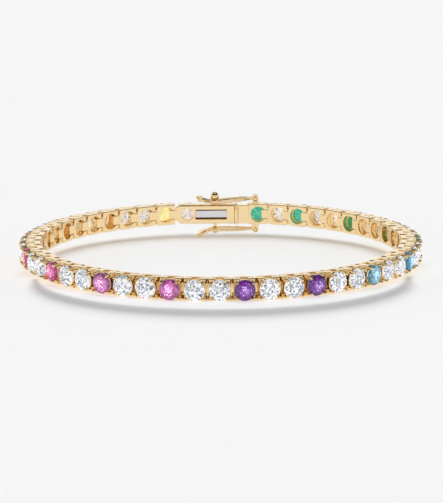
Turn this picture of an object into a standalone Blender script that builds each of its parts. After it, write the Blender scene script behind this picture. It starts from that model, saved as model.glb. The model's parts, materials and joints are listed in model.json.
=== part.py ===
"""A four-prong tennis bracelet, fastened and resting on its edge.

Forty-seven gold links in a ring, a box clasp and two figure-eight safety catches.
Metres, +Z up. A link, and the clasp, is modelled in a level frame of its own: x along
the chain, clockwise seen from above, y out from the wrist, z up, with x = 0 halfway
between its two slits and y = 0 on the line of the hinge pins. The finished ring leans
forward off its lower safety catch, as it does on a table.
"""

import math

import bmesh
import bpy
from mathutils import Matrix, Vector

# Chain of links
LINK_COUNT = 47
HINGE_PITCH = 0.00346
LINK_HEIGHT = 0.0033
PLATE_THICKNESS = 0.00092
PLATE_SLIT = 0.00016
SHOULDER_LENGTH = 0.00045
SHOULDER_DROP = 0.00015
HOLE_RADIUS = 0.00127
SLOT_HEIGHT = 0.0015
TONGUE_CLEARANCE = 0.00013
TONGUE_REACH = 0.0011
PIN_INSET = 0.0005
PIN_RADIUS = 0.0002
PIN_SEAT = 0.0003
PIN_CLEARANCE = 0.0001

# Round stones and the settings that hold them
STONE_DIAMETER = 0.0032
TABLE_DIAMETER = 0.0018
CROWN_HEIGHT = 0.0005
PAVILION_DEPTH = 0.00138
SEAT_CLEARANCE = 0.00015
GALLERY_GAP = 0.00044
GALLERY_HEIGHT = 0.00125
GALLERY_TAPER = 0.00027
GALLERY_BORE = 0.00095
PRONG_FOOT = 0.00034
PRONG_TIP = 0.00026
PRONG_RISE = 0.00072
PRONG_ROOT = 0.0002
PRONG_OUTSET = 0.00008

# Box half of the clasp
BOX_LENGTH = 0.0101
BOX_HEIGHT = 0.0031
BOX_WALL = 0.00035
BOX_CAVITY_DEPTH = 0.0008
BOX_SHOULDER_LENGTH = 0.0007
BOX_SHOULDER_DROP = 0.0005
BOX_STONES = 3
BOX_STONE_PITCH = 0.00332
BOX_FIRST_STONE = 0.00196
PEEP_RADIUS = 0.00104
WINDOW_START = 0.00322
WINDOW_LENGTH = 0.0051
WINDOW_HEIGHT = 0.00164
COLLAR_LENGTH = 0.0005
COLLAR_RISE = 0.0001
MOUTH_CLEARANCE = 0.0001

# Tongue half of the clasp, with its spring blade
CLASP_END_EASE = 0.00015
JOINT_GAP = 0.00015
BLOCK_LENGTH = 0.00144
BLOCK_HEIGHT = 0.003
BLOCK_LAP = 0.0002
BLADE_HEIGHT = 0.00112
BLADE_THICKNESS = 0.0002
BLADE_SPREAD = 0.0002
BLADE_FREE_END = 0.0009
BLADE_SEAT = 0.0009
BLADE_CLEARANCE = 0.0001

# Safety catches, hinged on the tongue half and snapped over a ball on the box
KNUCKLE_PLACE = 0.002175
CATCH_REACH = 0.00657
CATCH_CENTRE = 0.00075
CATCH_HALF_WIDTH = 0.00105
CATCH_WIRE = 0.00022
NECK_HALF_WIDTH = 0.0003
FLARE_LENGTH = 0.002
WAIST_HALF_WIDTH = 0.00034
THUMB_LENGTH = 0.0029
THUMB_HALF_WIDTH = 0.00078
PADDLE_THICKNESS = 0.00026
BARREL_LENGTH = 0.0011
BARREL_RADIUS = 0.00052
HINGE_PIN_RADIUS = 0.0002
HINGE_CLEARANCE = 0.0001
EAR_THICKNESS = 0.00035
LUG_HEIGHT = 0.00022
LUG_ROOT = 0.0004
LUG_LEDGE = 0.00005
POST_RADIUS = 0.00026
POST_ROOT = 0.0003

# Heights above the links' edge of each catch's hinge, wire at the ball, thumb tip and ball
UPPER_CATCH = {"hinge": 0.00087, "wire": 0.00034, "thumb": 0.0015, "ball": 0.00115, "ball_radius": 0.00075}
LOWER_CATCH = {"hinge": 0.0009, "wire": 0.00078, "thumb": 0.0021, "ball": 0.0009, "ball_radius": 0.00047}

# The thumb end's shape: shares of its length from the waist, and of its half width
THUMB_SHAPE = (
    {"along": 0.3, "width": 0.75},
    {"along": 0.55, "width": 1.0},
    {"along": 0.8, "width": 0.9},
    {"along": 0.97, "width": 0.45},
)

# Colour, roughness and metallic value of each material
MATERIALS = {
    "yellow_gold": {"colour": (0.83, 0.61, 0.27), "roughness": 0.18, "metallic": 1.0},
    "white_spring_metal": {"colour": (0.72, 0.71, 0.72), "roughness": 0.3, "metallic": 1.0},
    "white_stone": {"colour": (0.86, 0.89, 0.94), "roughness": 0.05, "metallic": 0.0},
    "green_stone": {"colour": (0.1, 0.62, 0.45), "roughness": 0.05, "metallic": 0.0},
}

# Sides and steps of the round shapes
LOOP_STEPS = 4
BISECTIONS = 60
STONE_SIDES = 8
HOLE_SIDES = 8
PIN_SIDES = 4
PRONG_SIDES = 3
BARREL_SIDES = 8
BALL_SEGMENTS = 10
WIRE_RESOLUTION = 1
WELD = 1e-6
FLAT_ANGLE = 0.002

# Places that follow from the sizes above
edge = LINK_HEIGHT / 2
plate_half = PLATE_THICKNESS / 2
gallery_foot = plate_half + GALLERY_GAP
girdle = gallery_foot + GALLERY_HEIGHT
stone_radius = STONE_DIAMETER / 2
tongue_half = SLOT_HEIGHT / 2 - TONGUE_CLEARANCE
clasp_length = BOX_LENGTH + JOINT_GAP + BLOCK_LENGTH + HINGE_PITCH
box_start = -clasp_length / 2
box_end = box_start + BOX_LENGTH
box_outer_face = -plate_half + 2 * BOX_WALL + BOX_CAVITY_DEPTH
block_start = box_end + JOINT_GAP
basket_centre = clasp_length / 2 - HINGE_PITCH / 2
knuckle_x = clasp_length / 2 - KNUCKLE_PLACE
post_x = knuckle_x - CATCH_REACH
waist_x = post_x - math.sqrt(CATCH_HALF_WIDTH ** 2 - WAIST_HALF_WIDTH ** 2)
thumb_tip_x = post_x - THUMB_LENGTH


def make_material(name):
    values = MATERIALS[name]
    material = bpy.data.materials.new(name)
    material.use_nodes = True
    material.diffuse_color = (*values["colour"], 1.0)
    shader = material.node_tree.nodes["Principled BSDF"]
    shader.inputs["Base Color"].default_value = (*values["colour"], 1.0)
    shader.inputs["Roughness"].default_value = values["roughness"]
    shader.inputs["Metallic"].default_value = values["metallic"]
    return material


def mesh_from(bm):
    bmesh.ops.remove_doubles(bm, verts=bm.verts, dist=WELD)
    bmesh.ops.recalc_face_normals(bm, faces=bm.faces)
    mesh = bpy.data.meshes.new("shape")
    bm.to_mesh(mesh)
    bm.free()
    return mesh


def block(x, y, z):
    """A box between pairs of limits along each axis."""
    bm = bmesh.new()
    bmesh.ops.create_cube(bm, size=1.0)
    limits = (x, y, z)
    bmesh.ops.scale(bm, vec=[high - low for low, high in limits], verts=bm.verts)
    bmesh.ops.translate(bm, vec=[(high + low) / 2 for low, high in limits], verts=bm.verts)
    return mesh_from(bm)


def rod(start, end, foot_radius, tip_radius, sides, bm=None):
    """A round bar, tapered or not; several can share one bmesh."""
    shape = bm or bmesh.new()
    start, end = Vector(start), Vector(end)
    along = end - start
    turn = along.to_track_quat("Z", "Y").to_matrix().to_4x4()
    place = Matrix.Translation((start + end) / 2) @ turn
    bmesh.ops.create_cone(shape, cap_ends=True, segments=sides, radius1=foot_radius,
                          radius2=tip_radius, depth=along.length, matrix=place)
    return shape if bm else mesh_from(shape)


def ball(centre, radius):
    bm = bmesh.new()
    bmesh.ops.create_uvsphere(bm, u_segments=BALL_SEGMENTS, v_segments=BALL_SEGMENTS // 2,
                              radius=radius, matrix=Matrix.Translation(centre))
    return mesh_from(bm)


def turned(profile, sides=STONE_SIDES):
    """A faceted shape turned about y from (radius, y) points; a flat end is one face."""
    bm = bmesh.new()
    angle = math.pi / sides
    verts = [bm.verts.new((r * math.cos(angle), y, r * math.sin(angle))) for r, y in profile]
    edges = [bm.edges.new(pair) for pair in zip(verts, verts[1:])]
    bmesh.ops.spin(bm, geom=verts + edges, cent=(0, 0, 0), axis=(0, 1, 0), angle=math.tau,
                   steps=sides, use_merge=True)
    bmesh.ops.remove_doubles(bm, verts=bm.verts, dist=WELD)
    rims = [e for e in bm.edges if e.is_boundary]
    if rims:
        bmesh.ops.holes_fill(bm, edges=rims, sides=0)
    return mesh_from(bm)


def mesh_of_curve(curve):
    """A curve object as a welded mesh, for pieces that are cut or joined."""
    holder = bpy.data.objects.new("curve", curve)
    bpy.context.scene.collection.objects.link(holder)
    evaluated = holder.evaluated_get(bpy.context.evaluated_depsgraph_get())
    mesh = bpy.data.meshes.new_from_object(evaluated)
    bpy.data.objects.remove(holder, do_unlink=True)
    bm = bmesh.new()
    bm.from_mesh(mesh)
    bmesh.ops.remove_doubles(bm, verts=bm.verts, dist=WELD)
    bmesh.ops.dissolve_limit(bm, angle_limit=FLAT_ANGLE, verts=bm.verts, edges=bm.edges)
    return mesh_from(bm)


def slab(outline, thickness, upright=True):
    """A flat outline, in the x-z plane or lying in x-y, as thick as given about its middle."""
    curve = bpy.data.curves.new("outline", "CURVE")
    curve.dimensions = "2D"
    curve.fill_mode = "BOTH"
    curve.extrude = thickness / 2
    spline = curve.splines.new("POLY")
    spline.points.add(len(outline) - 1)
    for point, (a, b) in zip(spline.points, outline):
        point.co = (a, b, 0, 1)
    spline.use_cyclic_u = True
    mesh = mesh_of_curve(curve)
    if upright:
        mesh.transform(Matrix.Rotation(math.pi / 2, 4, "X"))
    return mesh


def wire_ring(points):
    """A round wire bent into a closed loop."""
    curve = bpy.data.curves.new("wire", "CURVE")
    curve.dimensions = "3D"
    curve.bevel_depth = CATCH_WIRE
    curve.bevel_resolution = WIRE_RESOLUTION
    spline = curve.splines.new("POLY")
    spline.points.add(len(points) - 1)
    for point, place in zip(spline.points, points):
        point.co = (*place, 1)
    spline.use_cyclic_u = True
    return mesh_of_curve(curve)


def combine(mesh, others, operation="UNION"):
    """The mesh joined with, or cut by, each of the others in turn."""
    for other in others:
        target = bpy.data.objects.new("target", mesh)
        tool = bpy.data.objects.new("tool", other)
        for thing in (target, tool):
            bpy.context.scene.collection.objects.link(thing)
        boolean = target.modifiers.new("boolean", "BOOLEAN")
        boolean.operation = operation
        boolean.solver = "EXACT"
        boolean.object = tool
        evaluated = target.evaluated_get(bpy.context.evaluated_depsgraph_get())
        mesh = bpy.data.meshes.new_from_object(evaluated)
        for thing in (target, tool):
            bpy.data.objects.remove(thing, do_unlink=True)
    return mesh


def moved(mesh, x=0.0, y=0.0, z=0.0):
    copy = mesh.copy()
    copy.transform(Matrix.Translation((x, y, z)))
    return copy


def joined(meshes):
    """Meshes that don't touch, gathered in one."""
    bm = bmesh.new()
    for mesh in meshes:
        bm.from_mesh(mesh)
    gathered = bpy.data.meshes.new("gathered")
    bm.to_mesh(gathered)
    bm.free()
    return gathered


def plate_outline(tongue_reach, end_ease=0.0):
    """The back plate seen from the wrist: a waved square with a keyhole open to the right."""
    left = -(HINGE_PITCH - PLATE_SLIT) / 2
    right = -left - end_ease
    low_corner = edge - SHOULDER_DROP
    mouth = SLOT_HEIGHT / 2
    opening = math.asin(mouth / HOLE_RADIUS)
    steps = HOLE_SIDES - 2
    outline = [(right, low_corner), (right - SHOULDER_LENGTH, edge),
               (left + SHOULDER_LENGTH, edge), (left, low_corner)]
    if tongue_reach:
        end = -HINGE_PITCH / 2 - tongue_reach
        outline += [(left, tongue_half), (end, tongue_half), (end, -tongue_half), (left, -tongue_half)]
    outline += [(left, -low_corner), (left + SHOULDER_LENGTH, -edge),
                (right - SHOULDER_LENGTH, -edge), (right, -low_corner), (right, -mouth)]
    for step in range(steps + 1):
        angle = -opening - step * (math.tau - 2 * opening) / steps
        outline.append((HOLE_RADIUS * math.cos(angle), HOLE_RADIUS * math.sin(angle)))
    outline.append((right, mouth))
    return outline


def hinge_pin():
    """The pin across a link's slot, which holds its neighbour's tongue."""
    x = HINGE_PITCH / 2 - PIN_INSET
    z = SLOT_HEIGHT / 2 + PIN_SEAT
    return rod((x, 0, -z), (x, 0, z), PIN_RADIUS, PIN_RADIUS, PIN_SIDES)


def tongue_bore(slit_x):
    """What is drilled through a tongue whose hinge pin belongs to another piece."""
    x = slit_x - PIN_INSET
    radius = PIN_RADIUS + PIN_CLEARANCE
    return rod((x, 0, -edge), (x, 0, edge), radius, radius, STONE_SIDES)


def prongs():
    """Four claws, from inside the back plate to above the stone's edge."""
    bm = bmesh.new()
    reach = stone_radius + PRONG_OUTSET
    for corner in range(4):
        rod((0, PRONG_ROOT, -reach), (0, girdle + PRONG_RISE, -reach), PRONG_FOOT, PRONG_TIP,
            PRONG_SIDES, bm)
        turn = Matrix.Rotation(math.pi / 2, 3, "Y")
        bmesh.ops.rotate(bm, verts=bm.verts, matrix=turn)
    bmesh.ops.rotate(bm, verts=bm.verts, matrix=Matrix.Rotation(math.pi / 4, 3, "Y"))
    return mesh_from(bm)


def stone(clearance=0.0):
    """A round brilliant in eight main facets, or the space that one needs with a clearance."""
    return turned([
        (0, girdle - PAVILION_DEPTH - 1.5 * clearance),
        (stone_radius + clearance, girdle),
        (TABLE_DIAMETER / 2 + clearance, girdle + CROWN_HEIGHT + clearance),
    ])


def set_stone_cup():
    """A stone and the gallery ring under it, in one."""
    return turned([
        (0, girdle - PAVILION_DEPTH),
        (stone_radius - GALLERY_TAPER, gallery_foot),
        (stone_radius, girdle),
        (TABLE_DIAMETER / 2, girdle + CROWN_HEIGHT),
    ])


def empty_cup():
    """A gallery ring before it is bored and cut for a stone of its own."""
    return turned([
        (stone_radius - GALLERY_TAPER, gallery_foot),
        (stone_radius, girdle),
    ])


def gallery_bore(radius, foot):
    return rod((0, foot, 0), (0, girdle - GALLERY_HEIGHT / 2, 0), radius, radius, HOLE_SIDES)


def link(drilled):
    """One link with its stone; drilled where its tongue turns on another piece's pin."""
    mesh = combine(slab(plate_outline(TONGUE_REACH), PLATE_THICKNESS),
                   [set_stone_cup(), prongs(), hinge_pin()])
    if drilled:
        mesh = combine(mesh, [tongue_bore(-HINGE_PITCH / 2)], "DIFFERENCE")
    return mesh


def pin_circle_radius():
    """The circle through all the hinge pins, the clasp's two ends being a longer chord."""
    low, high = clasp_length / 2, LINK_COUNT * HINGE_PITCH
    for _ in range(BISECTIONS):
        radius = (low + high) / 2
        turn = LINK_COUNT * math.asin(HINGE_PITCH / 2 / radius) + math.asin(clasp_length / 2 / radius)
        if turn > math.pi:
            low = radius
        else:
            high = radius
    return radius


pin_radius = pin_circle_radius()
clasp_half_angle = math.asin(clasp_length / 2 / pin_radius)
link_angle = 2 * math.asin(HINGE_PITCH / 2 / pin_radius)
clasp_place = Vector((PIN_INSET, pin_radius * math.cos(clasp_half_angle), 0))


def link_place(number):
    """Where link number 0, next to the clasp's tongue half, and those after it lie."""
    angle = clasp_half_angle + (number + 0.5) * link_angle
    middle = pin_radius * math.cos(link_angle / 2)
    turn = Matrix.Rotation(-angle, 4, "Z")
    return turn @ Matrix.Translation((PIN_INSET, middle, 0))


def chain(first, last):
    """Links first to last as one body, held together by the pins in their tongues."""
    plain, drilled = link(False), link(True)
    rows = ([], [])
    for number in range(first, last + 1):
        piece = (drilled if number == first else plain).copy()
        piece.transform(link_place(number))
        rows[number % 2].append(piece)
    return combine(joined(rows[0]), [joined(rows[1])])


def box_stone_places():
    return [box_start + BOX_FIRST_STONE + number * BOX_STONE_PITCH for number in range(BOX_STONES)]


def catch_posts(root_z):
    """The ball-headed posts that the two safety catches snap over."""
    meshes = []
    for side, sizes in ((1, UPPER_CATCH), (-1, LOWER_CATCH)):
        head = side * (edge + sizes["ball"])
        foot = side * (root_z - POST_ROOT)
        meshes.append(rod((post_x, CATCH_CENTRE, foot), (post_x, CATCH_CENTRE, head),
                          POST_RADIUS, POST_RADIUS, BARREL_SIDES))
        meshes.append(ball((post_x, CATCH_CENTRE, head), sizes["ball_radius"]))
    return meshes


def clasp_box():
    """The box: three settings outside, a window inside, and a mouth for the spring blade."""
    left = box_start + PLATE_SLIT / 2 + CLASP_END_EASE
    half = BOX_HEIGHT / 2
    neck = half - BOX_SHOULDER_DROP
    shoulder = left + BOX_SHOULDER_LENGTH
    body = slab([(left, -neck), (shoulder, -half), (box_end, -half),
                 (box_end, half), (shoulder, half), (left, neck)],
                box_outer_face + plate_half)
    body.transform(Matrix.Translation((0, (box_outer_face - plate_half) / 2, 0)))
    collar_half = half + COLLAR_RISE
    mouth_x = box_end - COLLAR_LENGTH
    collar = block((mouth_x, box_end + WELD), (-plate_half - COLLAR_RISE, box_outer_face + COLLAR_RISE),
                   (-collar_half, collar_half))
    tongue = block((box_start - TONGUE_REACH, shoulder), (-plate_half, plate_half),
                   (-tongue_half, tongue_half))
    settings = []
    for x in box_stone_places():
        settings += [moved(empty_cup(), x), moved(prongs(), x)]
    inner, outer = -plate_half + BOX_WALL, box_outer_face - BOX_WALL
    window_x = box_start + WINDOW_START
    cavity_half = half - BOX_WALL
    window_half = WINDOW_HEIGHT / 2
    mouth_half = BLADE_HEIGHT / 2 + MOUTH_CLEARANCE
    through = (-plate_half - BOX_WALL, inner + BOX_WALL)
    cuts = [
        block((window_x, mouth_x), (inner, outer), (-cavity_half, cavity_half)),
        block((window_x, window_x + WINDOW_LENGTH), through, (-window_half, window_half)),
        block((mouth_x - BOX_WALL, box_end + BOX_WALL),
              (inner, inner + BLADE_CLEARANCE + 2 * BLADE_THICKNESS + MOUTH_CLEARANCE),
              (-mouth_half, mouth_half)),
        tongue_bore(box_start),
    ]
    for number, x in enumerate(box_stone_places()):
        first = number == 0
        bore = gallery_bore(PEEP_RADIUS if first else GALLERY_BORE, -girdle if first else inner + BOX_WALL)
        cuts += [moved(bore, x), moved(stone(SEAT_CLEARANCE), x)]
    solid = combine(body, [collar, tongue] + settings + catch_posts(half))
    return combine(solid, cuts, "DIFFERENCE")


def blade_limits():
    """The spring blade's lower face, tip, free end and root."""
    foot = -plate_half + BOX_WALL + BLADE_CLEARANCE
    tip = box_start + WINDOW_START + BLADE_CLEARANCE
    return foot, tip, box_end - BLADE_FREE_END, block_start + BLADE_SEAT


def spring_blade():
    """White-metal strip folded back on itself: root leaf, fold, and the leaf that springs out."""
    foot, tip, free, root = blade_limits()
    top = foot + BLADE_THICKNESS
    outline = [(tip, foot), (root, foot), (root, top), (tip + 2 * BLADE_THICKNESS, top),
               (free, top + BLADE_SPREAD), (free, top + BLADE_SPREAD + BLADE_THICKNESS),
               (tip, top + BLADE_THICKNESS / 2)]
    return slab(outline, BLADE_HEIGHT, upright=False)


def hinge_lug(side, sizes):
    """Two ears and a pin on the edge of the tongue half, for one safety catch."""
    z = side * (edge + sizes["hinge"])
    base = sorted((side * (edge - LUG_ROOT), side * (edge + LUG_HEIGHT)))
    half_span = BARREL_LENGTH / 2 + HINGE_CLEARANCE + EAR_THICKNESS
    half_base = BARREL_RADIUS + LUG_LEDGE
    meshes = [block((knuckle_x - half_base, knuckle_x + half_base),
                    (CATCH_CENTRE - half_span - LUG_LEDGE, CATCH_CENTRE + half_span + LUG_LEDGE), base)]
    top = [(BARREL_RADIUS * math.cos(turn), side * BARREL_RADIUS * math.sin(turn))
           for turn in (step * math.tau / BARREL_SIDES for step in range(BARREL_SIDES // 2 + 1))]
    ear = [(knuckle_x + x, z + rise) for x, rise in top]
    ear += [(knuckle_x - BARREL_RADIUS, side * edge), (knuckle_x + BARREL_RADIUS, side * edge)]
    for end in (-1, 1):
        meshes.append(moved(slab(ear, EAR_THICKNESS), 0,
                            CATCH_CENTRE + end * (half_span - EAR_THICKNESS / 2)))
    pin_end = half_span - EAR_THICKNESS / 2
    meshes.append(rod((knuckle_x, CATCH_CENTRE - pin_end, z), (knuckle_x, CATCH_CENTRE + pin_end, z),
                      HINGE_PIN_RADIUS, HINGE_PIN_RADIUS, BARREL_SIDES))
    return meshes


def clasp_tongue():
    """The last setting, the end block that meets the box, and the catches' hinges."""
    plate = moved(slab(plate_outline(0, CLASP_END_EASE), PLATE_THICKNESS), basket_centre)
    block_half = BLOCK_HEIGHT / 2
    block_end = clasp_length / 2 - HINGE_PITCH + PLATE_SLIT / 2 + BLOCK_LAP
    end_block = block((block_start, block_end), (-plate_half - COLLAR_RISE / 2, box_outer_face),
                      (-block_half, block_half))
    pieces = [end_block] + [moved(mesh, basket_centre) for mesh in (empty_cup(), prongs(), hinge_pin())]
    pieces += hinge_lug(1, UPPER_CATCH) + hinge_lug(-1, LOWER_CATCH)
    foot, _, _, root = blade_limits()
    pocket_half = BLADE_HEIGHT / 2 + BLADE_CLEARANCE
    pocket = block((block_start - BLADE_CLEARANCE, root + BLADE_CLEARANCE),
                   (foot - BLADE_CLEARANCE, foot + BLADE_THICKNESS + BLADE_CLEARANCE),
                   (-pocket_half, pocket_half))
    cuts = [pocket, moved(gallery_bore(GALLERY_BORE, plate_half + GALLERY_GAP / 2), basket_centre),
            moved(stone(SEAT_CLEARANCE), basket_centre)]
    return combine(combine(plate, pieces), cuts, "DIFFERENCE")


def catch_rise(x, sizes):
    """How far the catch's wire stands off the links' edge at x."""
    if x >= post_x:
        share = (x - post_x) / CATCH_REACH
        return sizes["wire"] + share * (sizes["hinge"] - sizes["wire"])
    share = (post_x - x) / THUMB_LENGTH
    return sizes["wire"] + share ** 2 * (sizes["thumb"] - sizes["wire"])


def catch_half_path():
    """One side of the figure eight: (x, half width), from the hinge round to the thumb tip."""
    neck_x = knuckle_x - BARREL_RADIUS
    path = [(neck_x + CATCH_WIRE, NECK_HALF_WIDTH), (neck_x - BARREL_RADIUS, NECK_HALF_WIDTH),
            (neck_x - FLARE_LENGTH, CATCH_HALF_WIDTH)]
    last = math.asin(WAIST_HALF_WIDTH / CATCH_HALF_WIDTH)
    for step in range(LOOP_STEPS + 1):
        angle = math.pi / 2 + step / LOOP_STEPS * (math.pi / 2 - last)
        path.append((post_x + CATCH_HALF_WIDTH * math.cos(angle), CATCH_HALF_WIDTH * math.sin(angle)))
    for row in THUMB_SHAPE:
        path.append((waist_x + row["along"] * (thumb_tip_x - waist_x), row["width"] * THUMB_HALF_WIDTH))
    return path


def safety_catch(side, sizes, paddle):
    """A barrel with a wire loop that is waisted past the ball and turned up for the thumb."""
    half = catch_half_path()
    loop = half + [(x, -width) for x, width in reversed(half)]
    points = [(x, CATCH_CENTRE + width, side * (edge + catch_rise(x, sizes))) for x, width in loop]
    z = side * (edge + sizes["hinge"])
    ends = [(knuckle_x, CATCH_CENTRE + end * BARREL_LENGTH / 2, z) for end in (-1, 1)]
    mesh = combine(wire_ring(points), [rod(*ends, BARREL_RADIUS, BARREL_RADIUS, BARREL_SIDES)])
    if paddle:
        rise = [catch_rise(x, sizes) for x in (waist_x, thumb_tip_x)]
        slope = math.atan2(side * (rise[1] - rise[0]), waist_x - thumb_tip_x)
        length = math.hypot(waist_x - thumb_tip_x, rise[1] - rise[0])
        sheet = block((-length / 2, length / 2), (-THUMB_HALF_WIDTH, THUMB_HALF_WIDTH),
                      (-PADDLE_THICKNESS / 2, PADDLE_THICKNESS / 2))
        middle = ((waist_x + thumb_tip_x) / 2, CATCH_CENTRE, side * (edge + sum(rise) / 2))
        place = Matrix.Translation(middle)
        sheet.transform(place @ Matrix.Rotation(slope, 4, "Y"))
        mesh = combine(mesh, [sheet])
    bore = HINGE_PIN_RADIUS + HINGE_CLEARANCE
    through = [(x, y + end * BARREL_LENGTH / 2, z) for end, (x, y, z) in zip((-1, 1), ends)]
    return combine(mesh, [rod(*through, bore, bore, BARREL_SIDES)], "DIFFERENCE")


def add_part(name, mesh, material, collection, parent, place=(0, 0, 0), axis_point=(0, 0, 0)):
    """An object under the parent, with its origin on its axis point in its own frame."""
    mesh.name = name
    mesh.transform(Matrix.Translation(-Vector(axis_point)))
    mesh.materials.clear()
    mesh.materials.append(material)
    thing = bpy.data.objects.new(name, mesh)
    collection.objects.link(thing)
    thing.parent = parent
    thing.location = Vector(place) + Vector(axis_point)
    return thing


def stand_on_floor(parent, parts):
    """Leans the ring on its lower catch, and centres it over the origin at floor level."""
    thumb_drop = LOWER_CATCH["thumb"] + CATCH_WIRE
    span = clasp_place.y + CATCH_CENTRE + pin_radius + plate_half
    parent.rotation_euler.x = math.atan2(thumb_drop, span)
    bpy.context.view_layer.update()
    corners = [part.matrix_world @ vertex.co for part in parts for vertex in part.data.vertices]
    low = [min(corner[axis] for corner in corners) for axis in range(3)]
    high = [max(corner[axis] for corner in corners) for axis in range(3)]
    parent.location = (-(low[0] + high[0]) / 2, -(low[1] + high[1]) / 2, -low[2])
    bpy.context.view_layer.update()


def build():
    for thing in list(bpy.data.objects):
        bpy.data.objects.remove(thing, do_unlink=True)
    collection = bpy.data.collections.new("tennis_bracelet")
    bpy.context.scene.collection.children.link(collection)
    gold, white_metal, white_stone, green_stone = [make_material(name) for name in MATERIALS]
    ring = bpy.data.objects.new("ring", None)
    collection.objects.link(ring)

    half = LINK_COUNT // 2
    parts = [
        add_part("links_right", chain(0, half - 1), gold, collection, ring),
        add_part("links_left", chain(half, LINK_COUNT - 1), gold, collection, ring),
        add_part("clasp_box", clasp_box(), gold, collection, ring, clasp_place),
        add_part("clasp_tongue", clasp_tongue(), gold, collection, ring, clasp_place),
        add_part("spring_blade", spring_blade(), white_metal, collection, ring, clasp_place),
        add_part("tongue_stone", moved(stone(), basket_centre), green_stone, collection, ring, clasp_place),
    ]
    for number, x in enumerate(box_stone_places(), 1):
        parts.append(add_part(f"box_stone_{number}", moved(stone(), x), white_stone, collection,
                              ring, clasp_place))
    for name, side, sizes in (("upper_safety", 1, UPPER_CATCH), ("lower_safety", -1, LOWER_CATCH)):
        axis_point = (knuckle_x, CATCH_CENTRE, side * (edge + sizes["hinge"]))
        parts.append(add_part(name, safety_catch(side, sizes, side < 0), gold, collection, ring,
                              clasp_place, axis_point))
    stand_on_floor(ring, parts)


build()
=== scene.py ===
"""The looks of a tennis bracelet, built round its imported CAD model.

Metres, +Z up. The ring stands on its edge, clasp at the back, leaning on its lower
safety catch. Each link is made once in a level frame of its own (x along the chain,
y out from the wrist, z up) and then laid round the ring.
"""
import json
import math
import random

import bmesh
import bpy
from mathutils import Matrix, Vector


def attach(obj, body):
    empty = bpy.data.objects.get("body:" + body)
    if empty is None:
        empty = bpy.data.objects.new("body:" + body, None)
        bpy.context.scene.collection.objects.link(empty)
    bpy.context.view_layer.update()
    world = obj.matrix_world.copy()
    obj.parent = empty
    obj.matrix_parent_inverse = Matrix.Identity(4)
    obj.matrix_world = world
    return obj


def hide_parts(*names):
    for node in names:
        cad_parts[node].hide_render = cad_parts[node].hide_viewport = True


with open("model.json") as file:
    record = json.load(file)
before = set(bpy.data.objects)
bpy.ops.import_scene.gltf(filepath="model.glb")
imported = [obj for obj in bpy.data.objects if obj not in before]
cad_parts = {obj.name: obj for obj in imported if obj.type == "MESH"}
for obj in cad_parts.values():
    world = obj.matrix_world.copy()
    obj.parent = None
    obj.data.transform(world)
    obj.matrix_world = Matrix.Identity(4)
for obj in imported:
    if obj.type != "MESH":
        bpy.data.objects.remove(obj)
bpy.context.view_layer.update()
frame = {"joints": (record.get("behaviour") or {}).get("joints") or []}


# The room. A white sweep of floor under a white horizon, which the polished gold mirrors.
# The ceiling is dark, so that bent edges show a dark line, but for a lit patch overhead.
FLOOR_SIZE = 40.0
FLOOR_WHITE = (0.87, 0.87, 0.87, 1.0)
FLOOR_ROUGHNESS = 0.9
SKY_STRENGTH = 1.0
HEIGHT_GREYS = ((0.0, 1.0), (0.42, 1.0), (0.52, 0.22), (0.7, 0.05), (0.9, 0.06), (0.96, 0.7), (1.0, 0.8))
SIDE_GREYS = ((0.0, 0.7), (0.3, 0.8), (0.6, 1.0), (1.0, 1.0))

bm = bmesh.new()
bmesh.ops.create_grid(bm, x_segments=1, y_segments=1, size=FLOOR_SIZE / 2)
floor_mesh = bpy.data.meshes.new("floor")
bm.to_mesh(floor_mesh)
bm.free()
floor = bpy.data.objects.new("floor", floor_mesh)
bpy.context.scene.collection.objects.link(floor)
floor_paint = bpy.data.materials.new("white_sweep")
floor_paint.use_nodes = True
floor_shader = floor_paint.node_tree.nodes["Principled BSDF"]
floor_shader.inputs["Base Color"].default_value = FLOOR_WHITE
floor_shader.inputs["Roughness"].default_value = FLOOR_ROUGHNESS
floor_shader.inputs["Specular IOR Level"].default_value = 0.0
floor_mesh.materials.append(floor_paint)


def grey_ramp(ramp, stops):
    """Fills a new colour ramp with greys; the first stop is at 0 and the last at 1."""
    for position, grey in stops[1:-1]:
        ramp.elements.new(position).color = (grey, grey, grey, 1.0)
    for element, (_, grey) in ((ramp.elements[0], stops[0]), (ramp.elements[-1], stops[-1])):
        element.color = (grey, grey, grey, 1.0)


studio = bpy.data.worlds.new("studio")
bpy.context.scene.world = studio
studio.use_nodes = True
sky = studio.node_tree
sky_place = sky.nodes.new("ShaderNodeTexCoord")
sky_split = sky.nodes.new("ShaderNodeSeparateXYZ")
sky_height = sky.nodes.new("ShaderNodeValToRGB")
sky_side = sky.nodes.new("ShaderNodeValToRGB")
sky_mix = sky.nodes.new("ShaderNodeMix")
sky_mix.data_type = "RGBA"
sky_mix.blend_type = "MULTIPLY"
sky_mix.inputs["Factor"].default_value = 1.0
sky_shift = sky.nodes.new("ShaderNodeMapRange")
sky_shift.inputs["From Min"].default_value = -1.0
grey_ramp(sky_height.color_ramp, HEIGHT_GREYS)
grey_ramp(sky_side.color_ramp, SIDE_GREYS)
sky.links.new(sky_place.outputs["Generated"], sky_split.inputs["Vector"])
sky.links.new(sky_split.outputs["Z"], sky_height.inputs["Fac"])
sky.links.new(sky_split.outputs["Y"], sky_shift.inputs["Value"])
sky.links.new(sky_shift.outputs["Result"], sky_side.inputs["Fac"])
sky.links.new(sky_height.outputs["Color"], sky_mix.inputs["A"])
sky.links.new(sky_side.outputs["Color"], sky_mix.inputs["B"])
sky.links.new(sky_mix.outputs["Result"], sky.nodes["Background"].inputs["Color"])
sky.nodes["Background"].inputs["Strength"].default_value = SKY_STRENGTH
bpy.context.scene.view_settings.view_transform = "Standard"


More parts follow.
